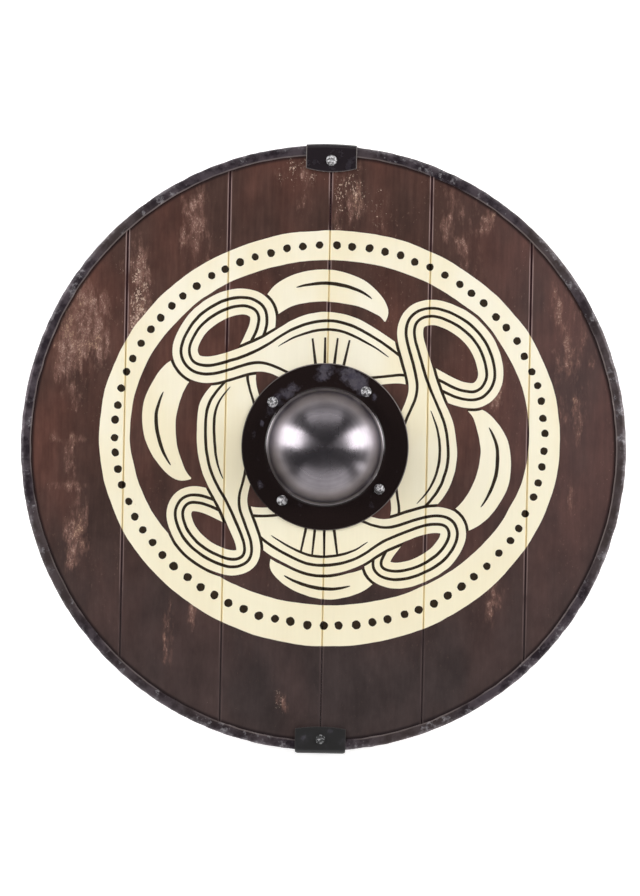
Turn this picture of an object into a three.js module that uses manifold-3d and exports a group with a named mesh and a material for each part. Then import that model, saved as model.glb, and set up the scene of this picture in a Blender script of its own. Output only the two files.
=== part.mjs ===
// A round shield of six upright boards, shown lying on its back with the face up.
// The boards are edged with a blackened steel rim in two half hoops, whose joints sit under a
// folded clamp at the top and another at the foot. A raised steel boss covers the hand hole, and
// a grip and two battens are nailed across the back, where they carry the shield.
//
// Millimetres, +Z up out of the painted face, +Y towards the top clamp. The origin is the centre
// of the rim on the surface that the shield lies on.

import * as THREE from "three";
import { mergeVertices } from "three/addons/utils/BufferGeometryUtils.js";
import Module from "manifold-3d";

const wasm = await Module();
wasm.setup();

// Driving dimensions

const SHIELD_DIAMETER = 610;
const CLEARANCE = 0.3; // between touching pieces

const BOARD_THICKNESS = 10;
const BOARD_COUNT = 6; // equal boards, which together span the rim
const SEAM_SHIFT = 2.4; // the middle seam lies this far right of the rim's centre
const SEAM_CHAMFER_WIDTH = 1.1;
const SEAM_CHAMFER_DEPTH = 2.4;

const RIM_STEEL = 1.2;
const RIM_LIP = 10.5; // how far the rim reaches in over the boards
const RIM_ROUNDING = 0.3; // the rolled edge's outside radius, as a share of the rim's thickness
const RIM_JOINT_MARGIN = 1; // beside the clamp's rivet, where the two half hoops stop

const BOSS_X = 1.5;
const BOSS_Y = 1.3;
const BOSS_STEEL = 1.5;
const FLANGE_RADIUS = 84.2;
const DOME_RADIUS = 57.7;
const DOME_HEIGHT = 50; // above the flange
const DOME_FILLET = 4;

const RIVET_PLACE = 1 / 3; // of the way across the flange's flat, from the dome to its edge
const RIVET_ANGLES = [54.4, 140.6, 232.5, 323.1]; // degrees, set out by eye by the maker
const RIVET_SHANK_RADIUS = 2;
const RIVET_HEAD_RADIUS = 5.6;
const RIVET_HEAD_HEIGHT = 3.4;
const RIVET_TAIL_RADIUS = 4.2;
const RIVET_TAIL_HEIGHT = 1.6;

const CLAMP_STEEL = 1.2;
const CLAMP_WIDTH = 51;
const TOP_CLAMP_DEPTH = 28.8; // from its outer edge to the middle of its bowed inner edge
const TOP_CLAMP_BOW = 3.7; // how far the inner edge's corners fall back from its middle
const TOP_RIVET_INSET = 15.5; // from the rim's outside to the rivet
const FOOT_CLAMP_DEPTH = 27.4;
const FOOT_CLAMP_BOW = 2.4;
const FOOT_CLAMP_STANDOFF = 1.5; // between the rim and the clamp's straight fold
const FOOT_CLAMP_CORNER = 1.5; // cut off each outer corner
const FOOT_RIVET_INSET = 12;

const HAND_HOLE_RADIUS = 53;
const BACK_DEPTH = 18; // thickness of the grip's handle and of the battens

const GRIP_WIDTH = 27;
const GRIP_CHAMFER = 6;
const GRIP_TAIL_LENGTH = 86;
const GRIP_TAIL_WIDTH = 38;
const GRIP_TAIL_THICKNESS = 10;
const GRIP_SHOULDER = 19; // over which the handle widens into its tail
const GRIP_NAIL_PLACES = [0.25, 0.75]; // along each tail

const BATTEN_WIDTH = 36;
const BATTEN_OFFSET = 152; // from the shield's centre to each batten's centreline
const BATTEN_END_GAP = 3; // between the batten's corner and the rim's lip
const BATTEN_CHAMFER = 3;

const NAIL_SHANK_RADIUS = 1.3;
const NAIL_HEAD_RADIUS = 3.2;
const NAIL_HEAD_THICKNESS = 1.2;
const NAIL_BITE = 5.5; // into the boards
const NAIL_POINT = 2.5;
const NAIL_SINK = 0.8; // of a batten's nail head below the batten's back

// Segments of the round shapes

const RIM_SEGMENTS = 72;
const BOSS_SEGMENTS = 40;
const RIVET_SEGMENTS = 10;
const NAIL_SEGMENTS = 6;
const BEND_STEPS = 2; // in each rolled corner
const DOME_STEPS = 8;
const HEAD_STEPS = 3;
const CLAMP_EDGE_STEPS = 8;
const GRIP_EDGE_STEPS = 4;

// Levels and radii that follow

const SHIELD_RADIUS = SHIELD_DIAMETER / 2;
const BOARD_WIDTH = SHIELD_DIAMETER / BOARD_COUNT; // from seam to seam
const BOARD_RADIUS = SHIELD_RADIUS - RIM_STEEL - CLEARANCE;
const LIP_RADIUS = SHIELD_RADIUS - RIM_LIP;
const BOARD_BACK = BACK_DEPTH + CLEARANCE;
const BOARD_FACE = BOARD_BACK + BOARD_THICKNESS;
const RIM_TOP = BOARD_FACE + CLEARANCE + RIM_STEEL;
const RIM_BOTTOM = BOARD_BACK - CLEARANCE - RIM_STEEL;
const RIM_CORNER = RIM_ROUNDING * (RIM_TOP - RIM_BOTTOM);
const FLANGE_TOP = BOARD_FACE + CLEARANCE + BOSS_STEEL;
const DOME_FOOT_RADIUS = DOME_RADIUS + DOME_FILLET;
const RIVET_CIRCLE_RADIUS = DOME_FOOT_RADIUS + RIVET_PLACE * (FLANGE_RADIUS - DOME_FOOT_RADIUS);
const CLAMP_TOP = RIM_TOP + CLEARANCE + CLAMP_STEEL;
const CLAMP_BOTTOM = RIM_BOTTOM - CLEARANCE - CLAMP_STEEL;
const CLAMP_CORNER = RIM_CORNER + CLEARANCE + CLAMP_STEEL;
const GRIP_TAIL_BACK = BACK_DEPTH - GRIP_TAIL_THICKNESS;
const FAR = SHIELD_DIAMETER; // past everything, for cutting tools

const SHANK_HOLE_RADIUS = RIVET_SHANK_RADIUS + CLEARANCE;
const NAIL_HOLE_RADIUS = NAIL_SHANK_RADIUS + CLEARANCE;

// Materials

const paintedBoard = new THREE.MeshStandardMaterial({ color: 0x53392f, roughness: 0.55, metalness: 0 });
const blackenedSteel = new THREE.MeshStandardMaterial({ color: 0x4a464c, roughness: 0.45, metalness: 0.8 });
const blackPaintedSteel = new THREE.MeshStandardMaterial({ color: 0x262226, roughness: 0.3, metalness: 0.4 });
const spunSteel = new THREE.MeshStandardMaterial({ color: 0x8d868e, roughness: 0.3, metalness: 1 });
const brightSteel = new THREE.MeshStandardMaterial({ color: 0xb6b0b4, roughness: 0.35, metalness: 1 });
const bareWood = new THREE.MeshStandardMaterial({ color: 0x8a5f41, roughness: 0.7, metalness: 0 });

// Solids from closed three.js geometry, and back

function solidOf(geometry) {
  const bare = geometry.index ? geometry.toNonIndexed() : geometry.clone();
  bare.deleteAttribute("normal");
  bare.deleteAttribute("uv");
  const merged = mergeVertices(bare, 1e-4);
  return new wasm.Manifold(
    new wasm.Mesh({
      numProp: 3,
      vertProperties: new Float32Array(merged.attributes.position.array),
      triVerts: new Uint32Array(merged.index.array),
    }),
  );
}

function geometryOf(solid) {
  const mesh = solid.getMesh();
  const geometry = new THREE.BufferGeometry();
  geometry.setAttribute("position", new THREE.BufferAttribute(mesh.vertProperties, 3));
  geometry.setIndex(new THREE.BufferAttribute(mesh.triVerts, 1));
  geometry.computeVertexNormals();
  return geometry;
}

// A flat outline stood up between two levels.
function prism(shape, low, high, curveSegments) {
  const options = { depth: high - low, bevelEnabled: false, curveSegments };
  return new THREE.ExtrudeGeometry(shape, options).translate(0, 0, low);
}

// An outline in X and Z, run along Y between two places.
function beamAlongY(shape, near, far) {
  const geometry = new THREE.ExtrudeGeometry(shape, { depth: far - near, bevelEnabled: false });
  return geometry.rotateX(Math.PI / 2).translate(0, far, 0);
}

// An outline in Y and Z, run along X between two places.
function beamAlongX(shape, near, far) {
  const geometry = new THREE.ExtrudeGeometry(shape, { depth: far - near, bevelEnabled: false });
  return geometry.rotateX(Math.PI / 2).rotateZ(Math.PI / 2).translate(near, 0, 0);
}

// A profile of radius and height, turned about the Z axis.
function turned(profile, segments) {
  return new THREE.LatheGeometry(profile, segments).rotateX(Math.PI / 2);
}

function block(x0, x1, y0, y1, z0, z1) {
  const geometry = new THREE.BoxGeometry(x1 - x0, y1 - y0, z1 - z0);
  return geometry.translate((x0 + x1) / 2, (y0 + y1) / 2, (z0 + z1) / 2);
}

function roundHole(x, y, radius, low, high, segments = RIVET_SEGMENTS) {
  const geometry = new THREE.CylinderGeometry(radius, radius, high - low, segments);
  return geometry.rotateX(Math.PI / 2).translate(x, y, (low + high) / 2);
}

function outline(points) {
  return new THREE.Shape(points.map(([x, y]) => new THREE.Vector2(x, y)));
}

function arc(centreX, centreY, radius, fromDegrees, toDegrees, steps) {
  return Array.from({ length: steps + 1 }, (_, i) => {
    const angle = THREE.MathUtils.degToRad(fromDegrees + ((toDegrees - fromDegrees) * i) / steps);
    return [centreX + radius * Math.cos(angle), centreY + radius * Math.sin(angle)];
  });
}

function cutAll(solid, tools) {
  return tools.reduce((left, tool) => left.subtract(solidOf(tool)), solid);
}

const shield = new THREE.Group();
shield.name = "round_shield";

function addPiece(name, geometry, material) {
  const mesh = new THREE.Mesh(geometry, material);
  mesh.name = name;
  shield.add(mesh);
  return mesh;
}

// Places that several pieces share

const bossRivets = RIVET_ANGLES.map((degrees) => {
  const angle = THREE.MathUtils.degToRad(degrees);
  return {
    x: BOSS_X + RIVET_CIRCLE_RADIUS * Math.cos(angle),
    y: BOSS_Y + RIVET_CIRCLE_RADIUS * Math.sin(angle),
  };
});
const topRivet = { x: SEAM_SHIFT, y: SHIELD_RADIUS - TOP_RIVET_INSET };
const footRivet = { x: SEAM_SHIFT, y: -(SHIELD_RADIUS - FOOT_RIVET_INSET) };

const seams = Array.from({ length: BOARD_COUNT - 1 }, (_, i) => {
  const fromMiddle = i + 1 - BOARD_COUNT / 2;
  return SEAM_SHIFT + fromMiddle * BOARD_WIDTH;
});

const battenCorner = BATTEN_OFFSET + BATTEN_WIDTH / 2;
const battenHalf = Math.sqrt((LIP_RADIUS - BATTEN_END_GAP) ** 2 - battenCorner ** 2);

// One nail for each board, in the middle of what the batten covers of it.
const battenEdges = [-battenHalf, ...seams.filter((x) => Math.abs(x) < battenHalf), battenHalf];
const battenNailXs = battenEdges.slice(1).map((right, i) => (battenEdges[i] + right) / 2);

const tailStart = HAND_HOLE_RADIUS;
const tailEnd = tailStart + GRIP_TAIL_LENGTH;
const gripNailXs = [-1, 1].flatMap((side) =>
  GRIP_NAIL_PLACES.map((share) => BOSS_X + side * (tailStart + share * GRIP_TAIL_LENGTH)),
);

// A batten's nail heads are sunk into its back, and the grip's stand on its tails.
const gripHead = GRIP_TAIL_BACK - CLEARANCE - NAIL_HEAD_THICKNESS;
const nails = {
  batten_top: battenNailXs.map((x) => ({ x, y: BATTEN_OFFSET, head: NAIL_SINK })),
  batten_foot: battenNailXs.map((x) => ({ x, y: -BATTEN_OFFSET, head: NAIL_SINK })),
  grip: gripNailXs.map((x) => ({ x, y: BOSS_Y, head: gripHead })),
};

// Boards: long sticks with chamfered front edges, cut to the disc inside the rim

function boardDisc() {
  const chamfer = RIM_CORNER - RIM_STEEL;
  const profile = [
    [0, BOARD_BACK],
    [BOARD_RADIUS - chamfer, BOARD_BACK],
    [BOARD_RADIUS, BOARD_BACK + chamfer],
    [BOARD_RADIUS, BOARD_FACE - chamfer],
    [BOARD_RADIUS - chamfer, BOARD_FACE],
    [0, BOARD_FACE],
  ];
  return solidOf(turned(outline(profile).getPoints(), RIM_SEGMENTS));
}

function boardStick(left, right, seamOnLeft, seamOnRight) {
  const leftChamfer = seamOnLeft ? SEAM_CHAMFER_WIDTH : 0;
  const rightChamfer = seamOnRight ? SEAM_CHAMFER_WIDTH : 0;
  const section = [
    [left, BOARD_BACK],
    [right, BOARD_BACK],
    [right, BOARD_FACE - (seamOnRight ? SEAM_CHAMFER_DEPTH : 0)],
    ...(seamOnRight ? [[right - rightChamfer, BOARD_FACE]] : []),
    ...(seamOnLeft ? [[left + leftChamfer, BOARD_FACE]] : []),
    [left, BOARD_FACE - (seamOnLeft ? SEAM_CHAMFER_DEPTH : 0)],
  ];
  return solidOf(beamAlongY(outline(section), -SHIELD_RADIUS, SHIELD_RADIUS));
}

const nailHoleEnd = BOARD_BACK + NAIL_BITE + CLEARANCE;
const boardHoles = [
  roundHole(BOSS_X, BOSS_Y, HAND_HOLE_RADIUS, 0, FAR, BOSS_SEGMENTS),
  ...[...bossRivets, topRivet, footRivet].map(({ x, y }) => roundHole(x, y, SHANK_HOLE_RADIUS, 0, FAR)),
  ...Object.values(nails)
    .flat()
    .map(({ x, y }) => roundHole(x, y, NAIL_HOLE_RADIUS, 0, nailHoleEnd, NAIL_SEGMENTS)),
];

const disc = boardDisc();
for (let i = 0; i < BOARD_COUNT; i++) {
  const seamOnLeft = i > 0;
  const seamOnRight = i < BOARD_COUNT - 1;
  const left = seamOnLeft ? seams[i - 1] + CLEARANCE / 2 : -SHIELD_RADIUS;
  const right = seamOnRight ? seams[i] - CLEARANCE / 2 : SHIELD_RADIUS;
  const board = cutAll(boardStick(left, right, seamOnLeft, seamOnRight).intersect(disc), boardHoles);
  addPiece(`board_${i + 1}`, geometryOf(board), paintedBoard);
}

// A folded strip's section in radius and height: two lips and a rolled outer edge

function foldedSection({ inner, outer, low, high, steel, bend }) {
  const inside = bend - steel;
  return [
    [inner, low],
    ...arc(outer - bend, low + bend, bend, -90, 0, BEND_STEPS),
    ...arc(outer - bend, high - bend, bend, 0, 90, BEND_STEPS),
    [inner, high],
    [inner, high - steel],
    ...arc(outer - bend, high - bend, inside, 90, 0, BEND_STEPS),
    ...arc(outer - bend, low + bend, inside, 0, -90, BEND_STEPS),
    [inner, low + steel],
  ];
}

function closedProfile(points) {
  return [...points, points[0]].map(([x, y]) => new THREE.Vector2(x, y));
}

// Rim: one ring, parted at the top and at the foot so that the clamps' rivets pass between

function rimHoop(side) {
  const section = foldedSection({
    inner: LIP_RADIUS,
    outer: SHIELD_RADIUS,
    low: RIM_BOTTOM,
    high: RIM_TOP,
    steel: RIM_STEEL,
    bend: RIM_CORNER,
  });
  const ring = solidOf(turned(closedProfile(section), RIM_SEGMENTS));
  const end = SHANK_HOLE_RADIUS + RIM_JOINT_MARGIN;
  const half =
    side < 0
      ? block(-FAR, SEAM_SHIFT - end, -FAR, FAR, 0, FAR)
      : block(SEAM_SHIFT + end, FAR, -FAR, FAR, 0, FAR);
  return ring.intersect(solidOf(half));
}

addPiece("rim_left", geometryOf(rimHoop(-1)), blackenedSteel);
addPiece("rim_right", geometryOf(rimHoop(1)), blackenedSteel);

// Clamps: steel folded over the rim's joints, seen from above with the fold at the far side

function clampSection(inner, outer) {
  return foldedSection({
    inner,
    outer,
    low: CLAMP_BOTTOM,
    high: CLAMP_TOP,
    steel: CLAMP_STEEL,
    bend: CLAMP_CORNER,
  });
}

function clampPlan(middle, bow, outer, corner) {
  const half = CLAMP_WIDTH / 2;
  const plan = new THREE.Shape();
  plan.moveTo(-half, middle + bow);
  plan.quadraticCurveTo(0, middle - bow, half, middle + bow);
  plan.lineTo(half, outer - corner);
  plan.lineTo(half - corner, outer);
  plan.lineTo(corner - half, outer);
  plan.lineTo(-half, outer - corner);
  return solidOf(prism(plan, 0, FAR, CLAMP_EDGE_STEPS));
}

// The top clamp is curved along its fold, to follow the rim.
function topClamp() {
  const outer = SHIELD_RADIUS + CLEARANCE + CLAMP_STEEL;
  const middle = outer - TOP_CLAMP_DEPTH;
  const section = clampSection(middle - TOP_CLAMP_BOW, outer);
  const ring = solidOf(turned(closedProfile(section), RIM_SEGMENTS));
  const plan = clampPlan(middle, TOP_CLAMP_BOW, FAR, 0).translate([SEAM_SHIFT, 0, 0]);
  const hole = roundHole(topRivet.x, topRivet.y, SHANK_HOLE_RADIUS, 0, FAR);
  return cutAll(ring.intersect(plan), [hole]);
}

// The foot clamp is folded straight across, so it stands off the rim in the middle.
function footClamp() {
  const outer = SHIELD_RADIUS + FOOT_CLAMP_STANDOFF + CLAMP_STEEL;
  const middle = outer - FOOT_CLAMP_DEPTH;
  const section = clampSection(middle - FOOT_CLAMP_BOW, outer);
  const strip = solidOf(beamAlongX(outline(section), -CLAMP_WIDTH, CLAMP_WIDTH));
  const folded = strip.intersect(clampPlan(middle, FOOT_CLAMP_BOW, outer, FOOT_CLAMP_CORNER));
  const placed = folded.rotate([0, 0, 180]).translate([SEAM_SHIFT, 0, 0]);
  const hole = roundHole(footRivet.x, footRivet.y, SHANK_HOLE_RADIUS, 0, FAR);
  return cutAll(placed, [hole]);
}

addPiece("clamp_top", geometryOf(topClamp()), blackPaintedSteel);
addPiece("clamp_foot", geometryOf(footClamp()), blackPaintedSteel);

// Boss: a spun dome with a fillet and a flat flange, hollow behind for the hand

function bossShell() {
  const wall = FLANGE_TOP + DOME_FILLET;
  const rise = DOME_HEIGHT - DOME_FILLET;
  const domeArc = (radius, height) =>
    arc(0, 0, 1, 0, 90, DOME_STEPS).map(([across, up]) => [radius * across, wall + height * up]);
  const profile = [
    ...domeArc(DOME_RADIUS - BOSS_STEEL, rise - BOSS_STEEL).reverse(),
    ...arc(DOME_FOOT_RADIUS, wall, DOME_FILLET + BOSS_STEEL, 180, 270, BEND_STEPS).slice(1),
    [FLANGE_RADIUS, FLANGE_TOP - BOSS_STEEL],
    [FLANGE_RADIUS, FLANGE_TOP],
    ...arc(DOME_FOOT_RADIUS, wall, DOME_FILLET, 270, 180, BEND_STEPS),
    ...domeArc(DOME_RADIUS, rise).slice(1),
  ];
  profile[0][0] = 0;
  profile[profile.length - 1][0] = 0;
  const shell = turned(profile.map(([x, y]) => new THREE.Vector2(x, y)), BOSS_SEGMENTS);
  return solidOf(shell.translate(BOSS_X, BOSS_Y, 0));
}

const bossHoles = bossRivets.map(({ x, y }) => roundHole(x, y, SHANK_HOLE_RADIUS, 0, FAR));
addPiece("boss", geometryOf(cutAll(bossShell(), bossHoles)), spunSteel);

// Rivets: a domed head over the steel, a shank, and a spread tail behind

function rivetGeometry(seat, back) {
  const head = arc(0, 0, 1, 0, 90, HEAD_STEPS).map(([across, up]) => [
    RIVET_HEAD_RADIUS * across,
    seat + CLEARANCE + RIVET_HEAD_HEIGHT * up,
  ]);
  head[head.length - 1][0] = 0;
  const tailTop = back - CLEARANCE;
  const profile = [
    [0, tailTop - RIVET_TAIL_HEIGHT],
    [RIVET_TAIL_RADIUS, tailTop - RIVET_TAIL_HEIGHT],
    [RIVET_TAIL_RADIUS, tailTop],
    [RIVET_SHANK_RADIUS, tailTop],
    [RIVET_SHANK_RADIUS, seat + CLEARANCE],
    ...head,
  ];
  return turned(profile.map(([x, y]) => new THREE.Vector2(x, y)), RIVET_SEGMENTS);
}

bossRivets.forEach(({ x, y }, i) => {
  addPiece(`boss_rivet_${i + 1}`, rivetGeometry(FLANGE_TOP, BOARD_BACK), brightSteel).position.set(x, y, 0);
});
const clampRivets = { clamp_rivet_top: topRivet, clamp_rivet_foot: footRivet };
for (const [name, { x, y }] of Object.entries(clampRivets)) {
  addPiece(name, rivetGeometry(CLAMP_TOP, CLAMP_BOTTOM), brightSteel).position.set(x, y, 0);
}

// Battens: two slats across all the boards, whose backs lie on the table

function shankHoles(places) {
  return places.map(({ x, y }) => roundHole(x, y, NAIL_HOLE_RADIUS, -FAR, FAR, NAIL_SEGMENTS));
}

function headPockets(places) {
  return places.map(({ x, y, head }) => {
    const floor = head + NAIL_HEAD_THICKNESS + CLEARANCE;
    return roundHole(x, y, NAIL_HEAD_RADIUS + CLEARANCE, -FAR, floor, NAIL_SEGMENTS);
  });
}

function batten(side, places) {
  const half = BATTEN_WIDTH / 2;
  const section = [
    [-half + BATTEN_CHAMFER, 0],
    [half - BATTEN_CHAMFER, 0],
    [half, BATTEN_CHAMFER],
    [half, BACK_DEPTH],
    [-half, BACK_DEPTH],
    [-half, BATTEN_CHAMFER],
  ];
  const slat = beamAlongX(outline(section), -battenHalf, battenHalf).translate(0, side * BATTEN_OFFSET, 0);
  return cutAll(solidOf(slat), [...shankHoles(places), ...headPockets(places)]);
}

addPiece("batten_top", geometryOf(batten(1, nails.batten_top)), bareWood);
addPiece("batten_foot", geometryOf(batten(-1, nails.batten_foot)), bareWood);

// Grip: an eight-sided handle behind the boss, with a flat tail nailed down at each end

function gripTail() {
  const half = GRIP_WIDTH / 2;
  const tailHalf = GRIP_TAIL_WIDTH / 2;
  const shoulder = tailStart + GRIP_SHOULDER;
  const plan = new THREE.Shape();
  plan.moveTo(tailStart - GRIP_CHAMFER, -half);
  plan.quadraticCurveTo(shoulder, -half, shoulder, -tailHalf);
  plan.lineTo(tailEnd - tailHalf / 2, -tailHalf);
  plan.quadraticCurveTo(tailEnd, -tailHalf, tailEnd, 0);
  plan.quadraticCurveTo(tailEnd, tailHalf, tailEnd - tailHalf / 2, tailHalf);
  plan.lineTo(shoulder, tailHalf);
  plan.quadraticCurveTo(shoulder, half, tailStart - GRIP_CHAMFER, half);
  return prism(plan, GRIP_TAIL_BACK, BACK_DEPTH, GRIP_EDGE_STEPS);
}

function grip() {
  const half = GRIP_WIDTH / 2;
  const flat = half - GRIP_CHAMFER;
  const section = [
    [-flat, 0],
    [flat, 0],
    [half, GRIP_CHAMFER],
    [half, BACK_DEPTH - GRIP_CHAMFER],
    [flat, BACK_DEPTH],
    [-flat, BACK_DEPTH],
    [-half, BACK_DEPTH - GRIP_CHAMFER],
    [-half, GRIP_CHAMFER],
  ];
  const handle = solidOf(beamAlongX(outline(section), -tailStart, tailStart));
  const tails = [0, Math.PI].map((turn) => solidOf(gripTail().rotateZ(turn)));
  const whole = tails.reduce((joined, tail) => joined.add(tail), handle);
  return cutAll(whole.translate([BOSS_X, BOSS_Y, 0]), shankHoles(nails.grip));
}

addPiece("grip", geometryOf(grip()), bareWood);

// Nails: driven from the back, their points inside the boards

function nailGeometry(head) {
  const tip = BOARD_BACK + NAIL_BITE;
  const profile = [
    [0, head],
    [NAIL_HEAD_RADIUS, head],
    [NAIL_HEAD_RADIUS, head + NAIL_HEAD_THICKNESS],
    [NAIL_SHANK_RADIUS, head + NAIL_HEAD_THICKNESS],
    [NAIL_SHANK_RADIUS, tip - NAIL_POINT],
    [0, tip],
  ];
  return turned(profile.map(([x, y]) => new THREE.Vector2(x, y)), NAIL_SEGMENTS);
}

for (const [holder, places] of Object.entries(nails)) {
  places.forEach(({ x, y, head }, i) => {
    addPiece(`${holder}_nail_${i + 1}`, nailGeometry(head), blackenedSteel).position.set(x, y, 0);
  });
}

export default shield;
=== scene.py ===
"""Looks for the wooden round shield, which lies on its back and is seen from straight above.

Lengths are in millimetres in this script and become metres where a mesh is made. Material nodes
work in metres.
"""

import random
from math import ceil, cos, dist, hypot, inf, pi, radians, sin, sqrt

import bpy
import numpy as np
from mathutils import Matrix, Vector, noise
from mathutils.geometry import delaunay_2d_cdt


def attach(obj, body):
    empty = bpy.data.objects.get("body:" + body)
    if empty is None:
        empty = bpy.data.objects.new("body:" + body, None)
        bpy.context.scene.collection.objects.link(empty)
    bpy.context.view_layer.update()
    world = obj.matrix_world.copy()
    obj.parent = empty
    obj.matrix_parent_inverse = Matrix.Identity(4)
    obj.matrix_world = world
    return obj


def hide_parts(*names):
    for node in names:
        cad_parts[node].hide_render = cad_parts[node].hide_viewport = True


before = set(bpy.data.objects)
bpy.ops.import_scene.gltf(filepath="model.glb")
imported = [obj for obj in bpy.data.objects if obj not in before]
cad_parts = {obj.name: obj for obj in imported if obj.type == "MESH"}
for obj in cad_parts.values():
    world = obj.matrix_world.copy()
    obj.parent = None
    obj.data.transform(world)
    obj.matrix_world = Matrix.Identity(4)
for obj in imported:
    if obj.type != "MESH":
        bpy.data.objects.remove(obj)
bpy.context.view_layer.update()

noise.seed_set(5)  # keeps the brush strokes the same each time

MM = 0.001

# Places and sizes, as in the solid model

CLEARANCE = 0.3
BOARD_BACK = 18.3
BOARD_FACE = 28.3
BOARD_RADIUS = 303.5
BOARD_EDGE = 2.7
SEAMS = [-200.933, -99.267, 2.4, 104.067, 205.733]
SEAM_GAP = 0.15
SEAM_GLUED = 0.01  # half the gap that is left where the glue fills the joint
SEAM_CHAMFER = 1.25
SEAM_DEPTH = 1.8
SEAM_LINES = [SEAM_GLUED, 0.95, SEAM_CHAMFER, 1.9, 2.4]  # beside a seam on the face
JOINT_LINES = [0.35, 0.7]  # beside a seam on the back, where its darkening ends
BOSS = np.array([1.5, 1.3])
HAND_HOLE = 53.0
FLANGE_RADIUS = 84.2
FLANGE_TOP = 30.1
BOSS_STEEL = 1.5
DOME_RADIUS = 57.7
DOME_FILLET = 4.0
DOME_RISE = 46.0
RIM_RADIUS = 305.0
RIM_LIP_RADIUS = 294.5
RIM_TOP = 29.8
RIM_BOTTOM = 16.8
RIM_MIDDLE = (RIM_TOP + RIM_BOTTOM) / 2
RIM_CORNER = 3.9
RIM_STEEL = 1.2
RIM_JOINT_MARGIN = 3.3  # from the clamps' middle to the end of each half hoop
CLAMP_STEEL = 1.2
CLAMP_TOP = 31.3
CLAMP_BOTTOM = 15.3
CLAMP_MIDDLE = (CLAMP_TOP + CLAMP_BOTTOM) / 2
CLAMP_CORNER = 5.4
CLAMP_X = 2.4
CLAMP_WIDTH = 51.0
CLAMP_SOFTNESS = 0.3  # the rounding of the cut edges
TOP_CLAMP = (306.5, 28.8, 3.7)  # outer edge, depth, and how far the inner edge bows
FOOT_CLAMP = (307.7, 27.4, 2.4)
FOOT_CLAMP_CORNER = 1.5
RIVET_CIRCLE = 69.2
RIVET_ANGLES = [54.4, 140.6, 232.5, 323.1]
RIVET_SHANK = 2.0
RIVET_HEAD_HEIGHT = 3.4
RIVET_TAIL_HEIGHT = 1.6
RIVET_TAIL_RADIUS = 4.2
TOP_RIVET = (2.4, 289.5)
FOOT_RIVET = (2.4, -293.0)


def rgb(red, green, blue):
    """A colour of 0 to 255 as it looks on a screen, in linear light."""
    out = []
    for value in (red, green, blue):
        share = value / 255
        out.append(share / 12.92 if share <= 0.04045 else ((share + 0.055) / 1.055) ** 2.4)
    return (*out, 1.0)


# Material nodes


class Surface:
    """A material with its shader, and short names for the nodes that feed it."""

    def __init__(self, name):
        self.material = bpy.data.materials.new(name)
        self.material.use_nodes = True
        self.tree = self.material.node_tree
        self.shader = self.tree.nodes["Principled BSDF"]

    def feed(self, node, values):
        """Links each value that is a node's output, and sets the others on the socket itself."""
        for key, value in values.items():
            if isinstance(value, bpy.types.NodeSocket):
                self.tree.links.new(value, node.inputs[key])
            else:
                node.inputs[key].default_value = value

    def node(self, kind, values, output=0, **settings):
        made = self.tree.nodes.new("ShaderNode" + kind)
        for key, value in settings.items():
            setattr(made, key, value)
        self.feed(made, values)
        return made.outputs[output]

    def finish(self, **values):
        """Sets the shader's inputs, with an underscore for each space in a name."""
        self.feed(self.shader, {key.replace("_", " "): value for key, value in values.items()})
        return self.material

    def times(self, first, second):
        return self.node("Math", {0: first, 1: second}, operation="MULTIPLY")

    def plus(self, first, second):
        return self.node("Math", {0: first, 1: second}, operation="ADD")

    def line(self, value, slope, start):
        """The value times the slope, plus the start."""
        return self.node("Math", {0: value, 1: slope, 2: start}, operation="MULTIPLY_ADD")

    def share(self, value, low, high):
        """0 where value is at or below low, 1 where it is at or above high."""
        return self.node("MapRange", {"Value": value, "From Min": low, "From Max": high}, "Result",
                         interpolation_type="SMOOTHSTEP")

    def mix(self, share, first, second):
        return self.node("Mix", {0: share, 6: first, 7: second}, 2, data_type="RGBA")

    def shade(self, colour, amount):
        """The colour made lighter or darker by a number."""
        return self.node("VectorMath", {0: colour, 3: amount}, operation="SCALE")

    def place(self):
        return self.node("TexCoord", {}, "Object")

    def noise(self, per_metre, detail=2.0, shift=0.0, roughness=0.5):
        """Soft noise, with its own count of patches per metre along X, Y and Z."""
        if isinstance(per_metre, (int, float)):
            per_metre = (per_metre,) * 3
        at = self.node("Mapping", {"Vector": self.place(), "Scale": per_metre,
                                   "Location": (shift, shift * 0.7, shift * 0.3)})
        return self.node("TexNoise", {"Vector": at, "Scale": 1.0, "Detail": detail,
                                      "Roughness": roughness})

    def mark(self, name):
        return self.node("Attribute", {}, "Fac", attribute_name=name)

    def along(self, axis):
        return self.node("SeparateXYZ", {0: self.place()}, axis)

    def radius(self, middle):
        """The distance, seen from the front, from an axis at the middle, which is in millimetres."""
        offset = self.node("VectorMath", {0: self.place(), 1: (middle[0] * MM, middle[1] * MM, 0.0)},
                           operation="SUBTRACT")
        flat = self.node("VectorMath", {0: offset, 1: (1.0, 1.0, 0.0)}, operation="MULTIPLY")
        return self.node("VectorMath", {0: flat}, "Value", operation="LENGTH")

    def relief(self, height, distance, strength):
        values = {"Strength": strength, "Distance": distance, "Height": height}
        self.feed(self.shader, {"Normal": self.node("Bump", values, "Normal")})


# Paint on the boards


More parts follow.
